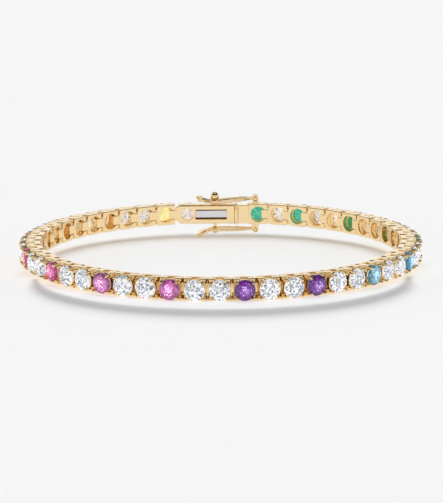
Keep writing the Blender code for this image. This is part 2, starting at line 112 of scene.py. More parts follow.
# The lamps. A soft one overhead lights the floor and the stones, shaded by the ring's back
# and sides. A low one far behind lights the floor only, shaded by two curved flags out of
# the camera's sight, which throw the grey bands. The gold mirrors neither lamp.
LAMPS = {
    "overhead": {"strength": 0.86, "spread": 90, "height": 87, "from_behind": False},
    "low_behind": {"strength": 5.17, "spread": 12, "height": 15.7, "from_behind": True},
}
FLAGS = {
    "front_flag": {"side": -1, "radius": 0.0284, "middle": -0.0328, "height": 0.002,
                   "half_width": 0.0003, "half_height": 0.0009},
    "back_flag": {"side": 1, "radius": 0.027, "middle": 0.0387, "height": 0.0025,
                  "half_width": 0.0003, "half_height": 0.00045},
}
FLAG_SPAN = math.radians(172)
FLAG_STEPS = 48
lamps = {}
for name, sizes in LAMPS.items():
    lamp_data = bpy.data.lights.new(name, "SUN")
    lamp_data.energy = sizes["strength"]
    lamp_data.angle = math.radians(sizes["spread"])
    lamp = bpy.data.objects.new(name, lamp_data)
    tip = math.radians(90 - sizes["height"])
    lamp.rotation_euler = (-tip if sizes["from_behind"] else tip, 0, 0)
    lamp.visible_glossy = False
    bpy.context.scene.collection.objects.link(lamp)
    lamps[name] = lamp

flags = bpy.data.collections.new("flags")
for name, sizes in FLAGS.items():
    centre = Vector((0, sizes["middle"] - sizes["side"] * sizes["radius"], sizes["height"]))
    start_turn = sizes["side"] * math.pi / 2 - FLAG_SPAN / 2
    bm = bmesh.new()
    section = []
    for across, up in ((-1, -1), (1, -1), (1, 1), (-1, 1)):
        corner = Vector((sizes["radius"] + across * sizes["half_width"], 0, up * sizes["half_height"]))
        section.append(bm.verts.new(centre + Matrix.Rotation(start_turn, 3, "Z") @ corner))
    edges = [bm.edges.new(pair) for pair in zip(section, section[1:] + section[:1])]
    bmesh.ops.spin(bm, geom=section + edges, cent=centre, axis=(0, 0, 1), angle=FLAG_SPAN,
                   steps=FLAG_STEPS)
    flag_mesh = bpy.data.meshes.new(name)
    bm.to_mesh(flag_mesh)
    bm.free()
    flag_mesh.materials.append(floor_paint)
    flag = bpy.data.objects.new(name, flag_mesh)
    bpy.context.scene.collection.objects.link(flag)
    flags.objects.link(flag)
    flag.visible_camera = False
    flag.visible_diffuse = False
    flag.visible_glossy = False
    flag.visible_transmission = False

floor_only = bpy.data.collections.new("floor_only")
floor_only.objects.link(floor)
floor_and_stones = bpy.data.collections.new("floor_and_stones")
floor_and_stones.objects.link(floor)
back_and_sides = bpy.data.collections.new("back_and_sides")
lamps["low_behind"].light_linking.receiver_collection = floor_only
lamps["low_behind"].light_linking.blocker_collection = flags
lamps["overhead"].light_linking.receiver_collection = floor_and_stones
lamps["overhead"].light_linking.blocker_collection = back_and_sides


# The camera. A long lens looking down on the ring at nine and a half degrees, fitted to
# the places of all the links in the photograph.
IMAGE_WIDTH = 443
FOCAL_PIXELS = 3328.8
SENSOR_WIDTH = 36.0
CAMERA_DISTANCE = 0.51459
CAMERA_HEIGHT_ANGLE = math.radians(9.492)
CAMERA_TURN = math.radians(-0.559)
CAMERA_ROLL = math.radians(-0.2865)
CAMERA_TARGET = Vector((0.00009, 0.0, 0.00239))
NEAREST_SEEN = 0.05
FARTHEST_SEEN = 100.0

camera_data = bpy.data.cameras.new("camera")
camera_data.sensor_fit = "HORIZONTAL"
camera_data.sensor_width = SENSOR_WIDTH
camera_data.lens = FOCAL_PIXELS * SENSOR_WIDTH / IMAGE_WIDTH
camera_data.clip_start = NEAREST_SEEN
camera_data.clip_end = FARTHEST_SEEN
camera = bpy.data.objects.new("camera", camera_data)
bpy.context.scene.collection.objects.link(camera)
camera_turn = (Matrix.Rotation(CAMERA_TURN, 4, "Z")
               @ Matrix.Rotation(math.pi / 2 - CAMERA_HEIGHT_ANGLE, 4, "X")
               @ Matrix.Rotation(CAMERA_ROLL, 4, "Z"))
camera.matrix_world = (Matrix.Translation(CAMERA_TARGET) @ camera_turn
                       @ Matrix.Translation((0, 0, CAMERA_DISTANCE)))
bpy.context.scene.camera = camera


# Back plates of the links. Each is a cast and polished plate of yellow gold with a waved
# upper and lower edge, a keyhole under its stone, and a tongue at the left that turns on
# a pin in its neighbour's slot.
LINK_COUNT = 47
GROUPS = {"right": range(12), "front": range(12, 35), "left": range(35, 47)}
CAD_LINKS = {"right": ["links_right"], "front": ["links_right", "links_left"], "left": ["links_left"]}
HINGE_PITCH = 0.00346
CLASP_LENGTH = 0.01515
PIN_INSET = 0.0005
PLATE_THICKNESS = 0.00092
PLATE_HALF_LENGTH = 0.00168
PLATE_HALF_HEIGHT = 0.00165
PLATE_CORNER = 0.00152
PLATE_FLAT_SHARE = 0.6
PLATE_EDGE_ROUND = 0.00006
PLATE_RIM_ROUND = 0.00013
RIM_START = 0.0014
NOTCH_WIDTH = 0.00013
NOTCH_FOOT = 0.00102
HOLE_RADIUS = 0.00127
SLOT_HALF_HEIGHT = 0.00075
TONGUE_HALF_HEIGHT = 0.0007
TONGUE_REACH = 0.0028
TONGUE_THICKNESS = 0.00088
TONGUE_CORNER = 0.00015
HINGE_PIN_RADIUS = 0.0002
HINGE_PIN_REACH = 0.00105
EDGE_STEPS = 10
ARC_STEPS = 24
KNUCKLE = Vector((0.0054, 0.00075, 0.00252))
GOLD_COLOUR = (0.99, 0.76, 0.43, 1.0)
GOLD_ROUGHNESS = (0.1, 0.22)
PATCH_SCALE = 900.0
PATCH_DETAIL = 3.0
MARK_SCALE = 5200.0
MARK_STRENGTH = 0.12
MARK_DEPTH = 0.00002
SHARP_ANGLE = math.radians(34)
SAME_PLANE = 0.002
WELD = 1e-6


def bmesh_of_curve(curve):
    """A curve's mesh, welded, for shapes that start as a curve."""
    holder = bpy.data.objects.new("curve", curve)
    bpy.context.scene.collection.objects.link(holder)
    evaluated = holder.evaluated_get(bpy.context.evaluated_depsgraph_get())
    mesh = bpy.data.meshes.new_from_object(evaluated)
    bpy.data.objects.remove(holder)
    bm = bmesh.new()
    bm.from_mesh(mesh)
    bpy.data.meshes.remove(mesh)
    bmesh.ops.remove_doubles(bm, verts=bm.verts, dist=WELD)
    return bm


def round_edges(bm, rounding, segments=2, angle=1.0):
    """Bevels every edge sharper than the angle."""
    sharp = [e for e in bm.edges if e.is_manifold and e.calc_face_angle() > angle]
    bmesh.ops.bevel(bm, geom=sharp, offset=rounding, offset_type="OFFSET", segments=segments,
                    profile=0.5, affect="EDGES", clamp_overlap=True, material=-1)


def round_rims(bm, rounding):
    """Rounds a flat plate's long upper and lower edges more than the others."""
    rims = [e for e in bm.edges if e.is_manifold and e.calc_face_angle() > 1
            and min(abs(v.co.y) for v in e.verts) > RIM_START
            and abs(e.verts[0].co.z - e.verts[1].co.z) < WELD]
    bmesh.ops.bevel(bm, geom=rims, offset=rounding, offset_type="OFFSET", segments=4, profile=0.5,
                    affect="EDGES", clamp_overlap=True, material=-1)


def slab(loops, thickness, rounding, rim=0.0):
    """A plate in x-z from closed outlines, the first solid and the others cut through it."""
    curve = bpy.data.curves.new("outline", "CURVE")
    curve.dimensions = "2D"
    curve.fill_mode = "BOTH"
    curve.extrude = thickness / 2
    for loop in loops:
        spline = curve.splines.new("POLY")
        spline.points.add(len(loop) - 1)
        for point, (x, z) in zip(spline.points, loop):
            point.co = (x, z, 0, 1)
        spline.use_cyclic_u = True
    bm = bmesh_of_curve(curve)
    bmesh.ops.dissolve_limit(bm, angle_limit=SAME_PLANE, verts=bm.verts, edges=bm.edges)
    bmesh.ops.recalc_face_normals(bm, faces=bm.faces)
    if rim:
        round_rims(bm, rim)
    round_edges(bm, rounding)
    bmesh.ops.rotate(bm, verts=bm.verts, matrix=Matrix.Rotation(math.pi / 2, 3, "X"))
    return bm


def arc(centre, radius, start, end, steps):
    """Points on a circle in x-z, from one angle to another."""
    turns = [start + (end - start) * step / steps for step in range(steps + 1)]
    return [(centre[0] + radius * math.cos(t), centre[1] + radius * math.sin(t)) for t in turns]


def circle(centre, radius, sides):
    """Points all round a circle in x-z."""
    return arc(centre, radius, 0, math.tau * (sides - 1) / sides, sides - 1)


def plate_loop():
    """The keyhole plate's outline, with its waved edges, notched corners and slot."""
    def wave(x):
        fall = max(0.0, abs(x) / PLATE_HALF_LENGTH - PLATE_FLAT_SHARE) / (1 - PLATE_FLAT_SHARE)
        return PLATE_HALF_HEIGHT - (PLATE_HALF_HEIGHT - PLATE_CORNER) * fall ** 2

    notch = PLATE_HALF_LENGTH - NOTCH_WIDTH
    places = [notch * (1 - 2 * step / EDGE_STEPS) for step in range(EDGE_STEPS + 1)]
    top = [(PLATE_HALF_LENGTH, NOTCH_FOOT), (notch, NOTCH_FOOT)] + [(x, wave(x)) for x in places]
    top += [(-notch, NOTCH_FOOT), (-PLATE_HALF_LENGTH, NOTCH_FOOT)]
    bottom = [(x, -z) for x, z in reversed(top)]
    opening = math.asin(SLOT_HALF_HEIGHT / HOLE_RADIUS)
    hole = arc((0, 0), HOLE_RADIUS, -opening, opening - math.tau, ARC_STEPS)
    slot_low, slot_high = ((PLATE_HALF_LENGTH, side * SLOT_HALF_HEIGHT) for side in (-1, 1))
    return top + bottom + [slot_low] + hole + [slot_high]


def tongue(start, end):
    """The flat tongue of a hinge, with rounded corners."""
    corner = TONGUE_CORNER
    high = TONGUE_HALF_HEIGHT
    loop = [(start, -high), (start, high)]
    loop += arc((end + corner, high - corner), corner, math.pi / 2, math.pi, 4)
    loop += arc((end + corner, corner - high), corner, math.pi, 3 * math.pi / 2, 4)
    return slab([loop], TONGUE_THICKNESS, PLATE_EDGE_ROUND)


def rod(start, end, radius, sides):
    """A straight round bar."""
    bm = bmesh.new()
    start, end = Vector(start), Vector(end)
    turn = (end - start).to_track_quat("Z", "Y").to_matrix().to_4x4()
    bmesh.ops.create_cone(bm, cap_ends=True, segments=sides, radius1=radius, radius2=radius,
                          depth=(end - start).length, matrix=Matrix.Translation((start + end) / 2) @ turn)
    return bm


def hinge_pin():
    x = HINGE_PITCH / 2 - PIN_INSET
    return rod((x, 0, -HINGE_PIN_REACH), (x, 0, HINGE_PIN_REACH), HINGE_PIN_RADIUS, 8)


def as_mesh(bm):
    mesh = bpy.data.meshes.new("shape")
    bm.to_mesh(mesh)
    bm.free()
    return mesh


def gather(shapes):
    """Copies of meshes, each under its own matrix, in one bmesh."""
    bm = bmesh.new()
    for mesh, place in shapes:
        copy = mesh.copy()
        copy.transform(place)
        bm.from_mesh(copy)
        bpy.data.meshes.remove(copy)
    return bm


def pin_circle():
    """The radius of the circle that all hinge pins lie on, the clasp being a longer chord."""
    low, high = CLASP_LENGTH, LINK_COUNT * HINGE_PITCH
    for _ in range(60):
        radius = (low + high) / 2
        turn = LINK_COUNT * math.asin(HINGE_PITCH / 2 / radius) + math.asin(CLASP_LENGTH / 2 / radius)
        low, high = (radius, high) if turn > math.pi else (low, radius)
    return radius


ring_radius = pin_circle()
clasp_half_angle = math.asin(CLASP_LENGTH / 2 / ring_radius)
link_angle = 2 * math.asin(HINGE_PITCH / 2 / ring_radius)
clasp_middle = Vector((PIN_INSET, ring_radius * math.cos(clasp_half_angle), 0))
upper_hinge = next(j for j in frame["joints"] if j["name"] == "upper_catch_hinge")
lean = math.atan2(upper_hinge["axis"][2], upper_hinge["axis"][1])
lean_turn = Matrix.Rotation(lean, 4, "X")
ring_middle = Vector(upper_hinge["pos_m"]) - lean_turn @ (clasp_middle + KNUCKLE)
ring_place = Matrix.Translation(ring_middle) @ lean_turn
clasp_place = ring_place @ Matrix.Translation(clasp_middle)


def link_place(number):
    """Where link number 0, next to the clasp's tongue half, and those after it lie."""
    angle = clasp_half_angle + (number + 0.5) * link_angle
    out = Matrix.Translation((PIN_INSET, ring_radius * math.cos(link_angle / 2), 0))
    return ring_place @ Matrix.Rotation(-angle, 4, "Z") @ out


def yellow_gold():
    """Polished yellow gold, with faint polishing marks and slightly duller patches."""
    material = bpy.data.materials.new("yellow_gold")
    material.use_nodes = True
    tree = material.node_tree
    shader = tree.nodes["Principled BSDF"]
    shader.inputs["Base Color"].default_value = GOLD_COLOUR
    shader.inputs["Metallic"].default_value = 1.0
    place = tree.nodes.new("ShaderNodeTexCoord")
    patches = tree.nodes.new("ShaderNodeTexNoise")
    patches.inputs["Scale"].default_value = PATCH_SCALE
    patches.inputs["Detail"].default_value = PATCH_DETAIL
    spread = tree.nodes.new("ShaderNodeMapRange")
    spread.inputs["To Min"].default_value = GOLD_ROUGHNESS[0]
    spread.inputs["To Max"].default_value = GOLD_ROUGHNESS[1]
    marks = tree.nodes.new("ShaderNodeTexNoise")
    marks.inputs["Scale"].default_value = MARK_SCALE
    bump = tree.nodes.new("ShaderNodeBump")
    bump.inputs["Strength"].default_value = MARK_STRENGTH
    bump.inputs["Distance"].default_value = MARK_DEPTH
    tree.links.new(place.outputs["Object"], patches.inputs["Vector"])
    tree.links.new(place.outputs["Object"], marks.inputs["Vector"])
    tree.links.new(patches.outputs["Fac"], spread.inputs["Value"])
    tree.links.new(spread.outputs["Result"], shader.inputs["Roughness"])
    tree.links.new(marks.outputs["Fac"], bump.inputs["Height"])
    tree.links.new(bump.outputs["Normal"], shader.inputs["Normal"])
    return material


gold = yellow_gold()


def add_piece(name, bm, material, body, replaced=(), smooth=True):
    """A finished piece at the origin that rides on its CAD body.

    The stones, which aren't smooth, take the overhead lamp, and all but the front shade it.
    """
    mesh = bpy.data.meshes.new(name)
    bm.to_mesh(mesh)
    bm.free()
    mesh.materials.clear()
    mesh.materials.append(material)
    piece = bpy.data.objects.new(name, mesh)
    bpy.context.scene.collection.objects.link(piece)
    if smooth:
        mesh.polygons.foreach_set("use_smooth", [True] * len(mesh.polygons))
        mesh.set_sharp_from_angle(angle=SHARP_ANGLE)
        even = piece.modifiers.new("even_faces", "WEIGHTED_NORMAL")
        even.keep_sharp = True
    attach(piece, body)
    if replaced:
        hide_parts(*replaced)
    if not smooth:
        floor_and_stones.objects.link(piece)
    if not name.endswith("front"):
        back_and_sides.objects.link(piece)
    return piece


still = Matrix.Identity(4)


def add_row(name, shape_at, material, chosen=lambda number: True, smooth=True):
    """One piece for each stretch of the ring, with a shape for each chosen link."""
    for side, numbers in GROUPS.items():
        shapes = gather([shape_at(number) for number in numbers if chosen(number)])
        add_piece(f"{name}_{side}", shapes, material, "bracelet", CAD_LINKS[side], smooth)


plate = as_mesh(slab([plate_loop()], PLATE_THICKNESS, PLATE_EDGE_ROUND, PLATE_RIM_ROUND))
link_plate = as_mesh(gather([
    (plate, still),
    (as_mesh(tongue(-PLATE_HALF_LENGTH + PLATE_EDGE_ROUND, -TONGUE_REACH)), still),
    (as_mesh(hinge_pin()), still),
]))
add_row("link_plates", lambda number: (link_plate, link_place(number)), gold)


# Settings. Each is a basket cast in one with its plate: walls left and right of the hole,
# four shoulders that carry a flared gallery ring, and four claws over the stone's edge.
# Between the shoulders a lens of daylight shows above and below the stone.
STONE_RADIUS = 0.00158
GIRDLE = 0.00215
GALLERY_PROFILE = ((0.0012, 0.00088), (0.0015, 0.00088), (0.00158, 0.00184), (0.00156, 0.0019),
                   (0.00147, 0.00192), (0.00122, 0.00135))
GALLERY_SIDES = 32
WALL_INNER_RADIUS = 0.0012
WALL_OUTER_RADIUS = 0.00152
WALL_SPAN = math.radians(58)
WALL_FOOT = 0.00044
WALL_HEIGHT = 0.0005
SHOULDER_ROUND = 0.00004
SHOULDER_EDGE_ANGLE = 0.8
FACET_ANGLE = 0.01
SHOULDER_SECTIONS = (
    {"y": 0.00036, "x": (0.0005, 0.00173), "z": (0.00095, 0.00164)},
    {"y": 0.001, "x": (0.00055, 0.00176), "z": (0.00092, 0.00163)},
    {"y": 0.0018, "x": (0.0008, 0.0015), "z": (0.0009, 0.00159)},
)
CLAW_SIDES = 8
CLAW_PATH = ((0.0016, 0.0013, 0.00036), (0.00167, 0.0017, 0.0003), (0.00172, 0.0021, 0.00026),
             (0.00171, 0.00244, 0.00024), (0.00163, 0.0027, 0.0002), (0.00156, 0.00278, 0.00012))


def gallery_ring(profile=GALLERY_PROFILE):
    """A ring turned about y from a closed profile of (radius, y)."""
    bm = bmesh.new()
    verts = [bm.verts.new((radius, y, 0)) for radius, y in profile]
    edges = [bm.edges.new(pair) for pair in zip(verts, verts[1:] + verts[:1])]
    bmesh.ops.spin(bm, geom=verts + edges, cent=(0, 0, 0), axis=(0, 1, 0), angle=math.tau,
                   steps=GALLERY_SIDES, use_merge=True)
    bmesh.ops.remove_doubles(bm, verts=bm.verts, dist=WELD)
    bmesh.ops.recalc_face_normals(bm, faces=bm.faces)
    return bm


def side_wall():
    """A curved wall beside the hole, on the right."""
    loop = arc((0, 0), WALL_OUTER_RADIUS, -WALL_SPAN, WALL_SPAN, 8)
    loop += arc((0, 0), WALL_INNER_RADIUS, WALL_SPAN, -WALL_SPAN, 8)
    bm = slab([loop], WALL_HEIGHT, PLATE_EDGE_ROUND / 4)
    bmesh.ops.translate(bm, vec=(0, WALL_FOOT + WALL_HEIGHT / 2, 0), verts=bm.verts)
    return bm


def shoulder(sections=SHOULDER_SECTIONS):
    """One corner of the basket, drawn in from the plate up to its claw."""
    bm = bmesh.new()
    for row in sections:
        for x in row["x"]:
            for z in row["z"]:
                bm.verts.new((x, row["y"], z))
    bmesh.ops.convex_hull(bm, input=bm.verts)
    bmesh.ops.dissolve_limit(bm, angle_limit=FACET_ANGLE, verts=bm.verts, edges=bm.edges)
    bmesh.ops.recalc_face_normals(bm, faces=bm.faces)
    round_edges(bm, SHOULDER_ROUND, 2, SHOULDER_EDGE_ANGLE)
    return bm


def claw(path=CLAW_PATH):
    """A round claw through (radius, y, thickness) points, leaning over the stone."""
    curve = bpy.data.curves.new("claw", "CURVE")
    curve.dimensions = "3D"
    curve.bevel_depth = 1.0
    curve.bevel_resolution = (CLAW_SIDES - 4) // 2
    curve.use_fill_caps = True
    spline = curve.splines.new("POLY")
    spline.points.add(len(path) - 1)
    for point, (reach, y, thickness) in zip(spline.points, path):
        point.co = (reach, y, 0, 1)
        point.radius = thickness
    bm = bmesh_of_curve(curve)
    bmesh.ops.recalc_face_normals(bm, faces=bm.faces)
    return bm


def corners(mesh, first_turn):
    """The mesh at the four corners of a setting."""
    return [(mesh, Matrix.Rotation(first_turn + corner * math.pi / 2, 4, "Y")) for corner in range(4)]


flip = Matrix.Rotation(math.pi, 4, "Y")
mirror_x = Matrix.Scale(-1, 4, (1, 0, 0))


def four_shoulders(bm):
    """The shoulder at all four corners: itself, its mirror image, and both turned over."""
    right = as_mesh(bm)
    left = as_mesh(gather([(right, mirror_x)]))
    left.flip_normals()
    return [(mesh, turn) for mesh in (right, left) for turn in (still, flip)]


wall = as_mesh(side_wall())
crown = [(as_mesh(gallery_ring()), still)] + corners(as_mesh(claw()), math.pi / 4)
basket = as_mesh(gather(crown + four_shoulders(shoulder()) + [(wall, still), (wall, flip)]))
add_row("settings", lambda number: (basket, link_place(number)), gold)


# The stones. Round brilliants of about 3.2 mm: every third one coloured, running through
# the rainbow round the ring, the others white. Each facet's colour is a painted reflection of
# another part of the room, over the stone's own hue where it is coloured, and it also gives
# the facet a little painted glow.
TABLE_RADIUS = 0.00088
STAR_RADIUS = 0.00122
CROWN_HEIGHT = 0.0005
STAR_HEIGHT = 0.00031
GIRDLE_HALF = 0.00004
PAVILION_MIDDLE = 0.00085
PAVILION_DEPTH = 0.00138
CULET_RADIUS = 0.00006
INNER_TABLE = 0.0003
FINE_FACET = 6e-8
# The white stones' facets are painted reflections: greys from near white to near black, and a few
# greenish and lilac ones. The facets that face the wrist draw mostly the bright ones, as painted light
# coming through the stone.
WHITE_PAINTED_REFLECTIONS = ((0.9, 0.9, 0.9), (0.72, 0.73, 0.76), (0.54, 0.56, 0.59), (0.37, 0.38, 0.41),
               (0.23, 0.24, 0.27), (0.1, 0.1, 0.12), (0.45, 0.6, 0.57), (0.6, 0.52, 0.66))
WHITE_WEIGHTS = (5, 5, 6, 6, 5, 3, 1, 1)
WHITE_BACK_WEIGHTS = (8, 6, 4, 2, 1, 0, 0, 0)
RAINBOW = {
    46: (0.88, 0.85, 0.44), 43: (0.62, 0.42, 0.2), 40: (0.58, 0.36, 0.18), 37: (0.62, 0.1, 0.16),
    34: (0.6, 0.06, 0.15), 31: (0.62, 0.08, 0.27), 28: (0.63, 0.2, 0.5), 25: (0.62, 0.16, 0.45),
    22: (0.19, 0.03, 0.32), 19: (0.17, 0.03, 0.3), 16: (0.2, 0.45, 0.58), 13: (0.09, 0.34, 0.56),
    10: (0.07, 0.35, 0.36), 7: (0.16, 0.25, 0.1), 4: (0.08, 0.42, 0.28), 1: (0.08, 0.52, 0.4),
}
# The coloured stones' facets: the hue under a painted light level, with painted shade at the rim and
# painted light in the middle, whitened by a painted highlight where bright, and painted light from behind
# on the facets that face the wrist.
PAINTED_LIGHT_LEVELS = (0.35, 0.6, 0.85, 1.0, 1.25, 1.7)
PAINTED_LIGHT_WEIGHTS = (4, 5, 6, 6, 4, 2)
RIM_PAINTED_SHADE = 0.2
CENTRE_PAINTED_LIGHT = 1.75
PAINTED_HIGHLIGHT_SHARE = 0.45
BACK_PAINTED_LIGHT = (0.75, 1.2)
FACING_OUT = 0.99
STEEP = 0.3
# How strongly the stones glow with their painted light, though no lamp is in them.
STONE_PAINTED_GLOW = 0.6
STONE_ROUGHNESS = 0.05
STONE_IOR = 1.8
chance = random.Random(7)


def brilliant():
    """Table, eight stars, eight kites, sixteen halves, a girdle, and the pavilion's mains."""
    bm = bmesh.new()
    rings = ((TABLE_RADIUS, CROWN_HEIGHT, 8, 0.5), (STAR_RADIUS, STAR_HEIGHT, 8, 0.0),
             (STONE_RADIUS, GIRDLE_HALF, 16, 0.0), (STONE_RADIUS, -GIRDLE_HALF, 16, 0.0),
             (PAVILION_MIDDLE, 0.5 * -PAVILION_DEPTH, 8, 0.0), (CULET_RADIUS, -PAVILION_DEPTH, 8, 0.5))
    for radius, height, sides, turn in rings:
        place = (Matrix.Translation((0, GIRDLE + height, 0)) @ Matrix.Rotation(math.pi / 2, 4, "X")
                 @ Matrix.Rotation(turn * math.tau / sides, 4, "Z"))
        bmesh.ops.create_circle(bm, radius=radius, segments=sides, matrix=place)
    bmesh.ops.convex_hull(bm, input=bm.verts)
    bmesh.ops.dissolve_limit(bm, angle_limit=FACET_ANGLE, verts=bm.verts, edges=bm.edges)
    table = max((f for f in bm.faces if f.normal.y > FACING_OUT), key=lambda f: f.calc_area())
    bmesh.ops.inset_individual(bm, faces=[table], thickness=INNER_TABLE)
    bmesh.ops.poke(bm, faces=[f for f in bm.faces if f.normal.y > FACING_OUT])
    large = [f for f in bm.faces if abs(f.normal.y) > STEEP and f.calc_area() > FINE_FACET]
    bmesh.ops.poke(bm, faces=large)
    bmesh.ops.recalc_face_normals(bm, faces=bm.faces)
    return bm


cut = as_mesh(brilliant())


def painted_facet_light(colour, face):
    """One facet's painted light: a painted reflection, mostly grey, if white; else the hue under painted
    light, shaded at the rim and paler in the middle.
    """
    if colour is None:
        weights = WHITE_WEIGHTS if face.normal.y > 0 else WHITE_BACK_WEIGHTS
        return chance.choices(WHITE_PAINTED_REFLECTIONS, weights)[0]
    centre = face.calc_center_median()
    rim = min(1.0, math.hypot(centre.x, centre.z) / STONE_RADIUS)
    painted_light = chance.choices(PAINTED_LIGHT_LEVELS, PAINTED_LIGHT_WEIGHTS)[0] * (CENTRE_PAINTED_LIGHT + (RIM_PAINTED_SHADE - CENTRE_PAINTED_LIGHT) * rim)
    # Facets that face the wrist get painted light from behind instead.
    if face.normal.y < 0:
        painted_light = chance.uniform(*BACK_PAINTED_LIGHT)
    painted_highlight = PAINTED_HIGHLIGHT_SHARE * max(0.0, painted_light - 1.0)
    return [min(1.0, channel * painted_light + painted_highlight) for channel in colour]


def stone_with_painted_light(place, colour):
    """One stone in place, turned at random, with painted light and reflection for each facet."""
    bm = bmesh.new()
    bm.from_mesh(cut)
    layer = bm.loops.layers.float_color.new("facet")
    for face in bm.faces:
        facet_painted_light = painted_facet_light(colour, face)
        for loop in face.loops:
            loop[layer] = (*facet_painted_light, 1.0)
    turn = Matrix.Rotation(chance.random() * math.tau, 4, "Y")
    bmesh.ops.transform(bm, matrix=place @ turn, verts=bm.verts)
    return as_mesh(bm)


def cut_stone(name):
    """Polished facets whose facet attribute, a painted light and reflection, gives both their colour and
    a painted glow.
    """
    material = bpy.data.materials.new(name)
    material.use_nodes = True
    tree = material.node_tree
    shader = tree.nodes["Principled BSDF"]
    facet = tree.nodes.new("ShaderNodeAttribute")
    facet.attribute_name = "facet"
    tree.links.new(facet.outputs["Color"], shader.inputs["Base Color"])
    tree.links.new(facet.outputs["Color"], shader.inputs["Emission Color"])
    # The facets glow with their painted light, as emission.
    shader.inputs["Emission Strength"].default_value = STONE_PAINTED_GLOW
    shader.inputs["Roughness"].default_value = STONE_ROUGHNESS
    shader.inputs["IOR"].default_value = STONE_IOR
    return material


white_gem = cut_stone("white_gem")
coloured_gem = cut_stone("coloured_gem")
add_row("white_stones", lambda number: (stone_with_painted_light(link_place(number), None), still), white_gem,
        lambda number: number not in RAINBOW, smooth=False)
add_row("rainbow_stones", lambda number: (stone_with_painted_light(link_place(number), RAINBOW[number]), still),
        coloured_gem, lambda number: number in RAINBOW, smooth=False)


# The box of the clasp. A thin-walled gold box, soldered up from plates, with a collar round
# its mouth. Its wrist side has a round peep hole and a long window on the spring blade,
# and its outer side carries three settings like the links'.
BOX_LENGTH = 0.0101
BOX_HALF_HEIGHT = 0.00155
BOX_WALL = 0.00035
BOX_INNER_FACE = -0.00046
BOX_OUTER_FACE = 0.00104
BOX_LEFT = -0.0075
BOX_SHOULDER = 0.0007
BOX_NECK = 0.00105
COLLAR_LENGTH = 0.0005
COLLAR_RISE = 0.0001
PEEP_RADIUS = 0.00104
WINDOW_LEFT = -0.004355
WINDOW_LENGTH = 0.0051
WINDOW_HALF_HEIGHT = 0.00082
INNER_INSET = 0.00005
GROOVE_DEPTH = 0.0003
GROOVE_WIDTH = 0.00018
BOX_EDGE_ROUND = 0.00006
BOX_RIM_ROUND = 0.00016
GROOVE_ROUND = 0.00001
BOX_WALL_ROUND = 0.00003
BLOCK_ROUND = 0.00012
BOX_TONGUE_REACH = 0.0011
SETTING_SINK = 0.0002
FIRST_BOX_STONE = 0.00196
BOX_STONE_PITCH = 0.00332
box_start = -CLASP_LENGTH / 2
box_mouth = box_start + BOX_LENGTH
BOX_STONES = [box_start + FIRST_BOX_STONE + BOX_STONE_PITCH * number for number in range(3)]


def box_block(x, y, z, rounding):
    """A rounded block between pairs of limits."""
    bm = bmesh.new()
    bmesh.ops.create_cube(bm, size=1.0)
    limits = (x, y, z)
    bmesh.ops.scale(bm, vec=[high - low for low, high in limits], verts=bm.verts)
    bmesh.ops.translate(bm, vec=[(high + low) / 2 for low, high in limits], verts=bm.verts)
    round_edges(bm, rounding, segments=3)
    return bm


def box_loop(inset=0.0):
    """The box's outline from the wrist, with its two cut corners at the hinge end."""
    left, right = BOX_LEFT + inset, box_mouth - COLLAR_LENGTH
    high, neck = BOX_HALF_HEIGHT - inset, BOX_NECK - inset
    cut_end = left + BOX_SHOULDER
    return [(left, -neck), (cut_end, -high), (right, -high), (right, high), (cut_end, high), (left, neck)]


def laid(bm, y):
    """The shape moved outwards so that its middle is at y."""
    bmesh.ops.translate(bm, vec=(0, y, 0), verts=bm.verts)
    return as_mesh(bm), still


window_right = WINDOW_LEFT + WINDOW_LENGTH
window_loop = [(WINDOW_LEFT, -WINDOW_HALF_HEIGHT), (window_right, -WINDOW_HALF_HEIGHT),
               (window_right, WINDOW_HALF_HEIGHT), (WINDOW_LEFT, WINDOW_HALF_HEIGHT)]
peep_loop = circle((BOX_STONES[0], 0), PEEP_RADIUS, 32)
cavity_right = box_mouth - COLLAR_LENGTH - BOX_WALL
cavity_half = BOX_HALF_HEIGHT - BOX_WALL
cavity_loop = [(WINDOW_LEFT, -cavity_half), (cavity_right, -cavity_half),
               (cavity_right, cavity_half), (WINDOW_LEFT, cavity_half)]
inner_plate = slab([box_loop(INNER_INSET), peep_loop, window_loop], BOX_WALL, BOX_EDGE_ROUND,
                   BOX_RIM_ROUND)
middle_depth = BOX_OUTER_FACE - BOX_INNER_FACE - 2 * BOX_WALL - GROOVE_WIDTH
middle_y = BOX_INNER_FACE + BOX_WALL + GROOVE_WIDTH + middle_depth / 2
groove = slab([box_loop(GROOVE_DEPTH), peep_loop, cavity_loop], 2 * GROOVE_WIDTH, GROOVE_ROUND)
walls = slab([box_loop(), peep_loop, cavity_loop], middle_depth, BOX_WALL_ROUND)
outer_plate = slab([box_loop(), peep_loop], BOX_WALL, BOX_EDGE_ROUND)
collar = box_block((box_mouth - COLLAR_LENGTH, box_mouth),
                   (BOX_INNER_FACE - COLLAR_RISE, BOX_OUTER_FACE + COLLAR_RISE),
                   (-BOX_HALF_HEIGHT - COLLAR_RISE, BOX_HALF_HEIGHT + COLLAR_RISE), BLOCK_ROUND)
box_tongue = tongue(BOX_LEFT + BOX_SHOULDER / 2, box_start - BOX_TONGUE_REACH)
low_shoulder = shoulder([
    {"y": BOX_OUTER_FACE - SETTING_SINK, "x": (0.0007, 0.00152), "z": (0.0009, 0.00148)},
    {"y": 0.0018, "x": (0.00092, 0.00142), "z": (0.00092, 0.00142)},
])
box_setting = as_mesh(gather(crown + four_shoulders(low_shoulder)))
box_shapes = [
    laid(inner_plate, BOX_INNER_FACE + BOX_WALL / 2),
    laid(groove, BOX_INNER_FACE + BOX_WALL + GROOVE_WIDTH / 2),
    laid(walls, middle_y),
    laid(outer_plate, BOX_OUTER_FACE - BOX_WALL / 2),
    (as_mesh(collar), still),
    (as_mesh(box_tongue), still),
]
